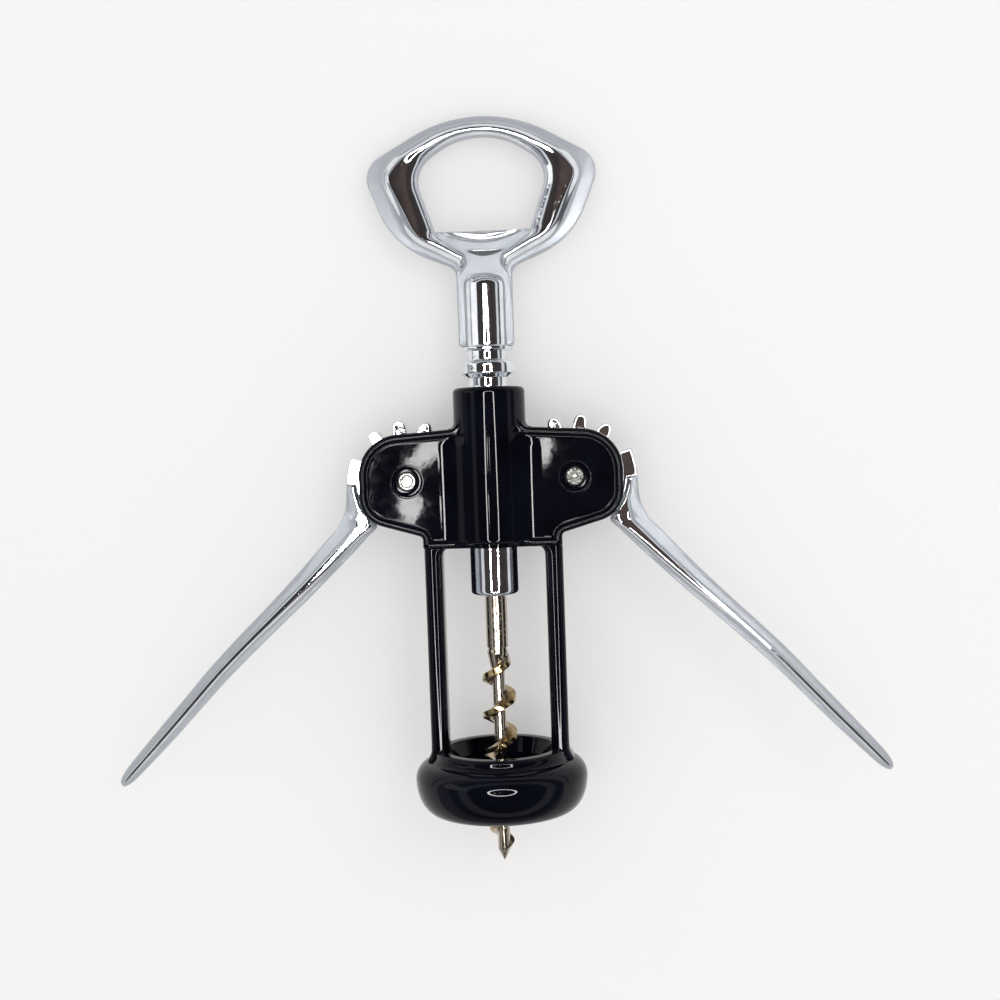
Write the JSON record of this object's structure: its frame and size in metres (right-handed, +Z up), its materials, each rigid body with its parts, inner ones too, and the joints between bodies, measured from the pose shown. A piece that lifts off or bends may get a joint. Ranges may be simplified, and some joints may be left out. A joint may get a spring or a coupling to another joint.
{
  "type": "wing corkscrew",
  "caption": "Wing corkscrew with a black frame and bottle bell, toothed chrome levers, a ring-grooved rack sleeve, a turning opener-ring handle and a steel auger worm.",
  "frame": {"origin": "middle of the part's box across and along the spindle, on the plane that the bell rests on", "axes": "+X across the two levers, +Y up the spindle towards the opener ring, +Z up from the surface that the part lies on"},
  "size_m": [0.1994, 0.1894, 0.044],
  "materials": {
    "black_enamel": "gloss black enamel over a zinc casting",
    "chrome": "bright chrome plate over a zinc casting",
    "pin_steel": "plain riveted steel",
    "worm_steel": "plated steel with a slightly warm tint"
  },
  "bodies": {
    "frame_body": {"frame": "black_enamel", "left_pivot_pin": "pin_steel", "right_pivot_pin": "pin_steel"},
    "left_lever_body": {"left_lever": "chrome"},
    "right_lever_body": {"right_lever": "chrome"},
    "rack_body": {"rack_sleeve": "chrome"},
    "handle_body": {"opener_handle": "chrome", "worm": "worm_steel"}
  },
  "joints": [
    {"name": "right_lever_hinge", "type": "hinge", "parent": "frame_body", "child": "right_lever_body", "pos_m": [0.02115, 0.0038, 0.022], "axis": [0, 0, 1], "range_deg": [-38, 110]},
    {"name": "left_lever_hinge", "type": "hinge", "parent": "frame_body", "child": "left_lever_body", "pos_m": [-0.02115, 0.0038, 0.022], "axis": [0, 0, -1], "range_deg": [-38.2, 110.2]},
    {"name": "rack_slide", "type": "slide", "parent": "frame_body", "child": "rack_body", "axis": [0, -1, 0], "range_m": [-0.00957, 0.02751]},
    {"name": "handle_turn", "type": "hinge", "parent": "rack_body", "child": "handle_body", "pos_m": [0, 0.0038, 0.022], "axis": [0, 1, 0], "continuous": true}
  ],
  "couplings": [
    {"joint": "left_lever_hinge", "follows": "right_lever_hinge", "ratio": 1},
    {"joint": "rack_slide", "follows": "right_lever_hinge", "m_per_rad": 0.014276}
  ]
}
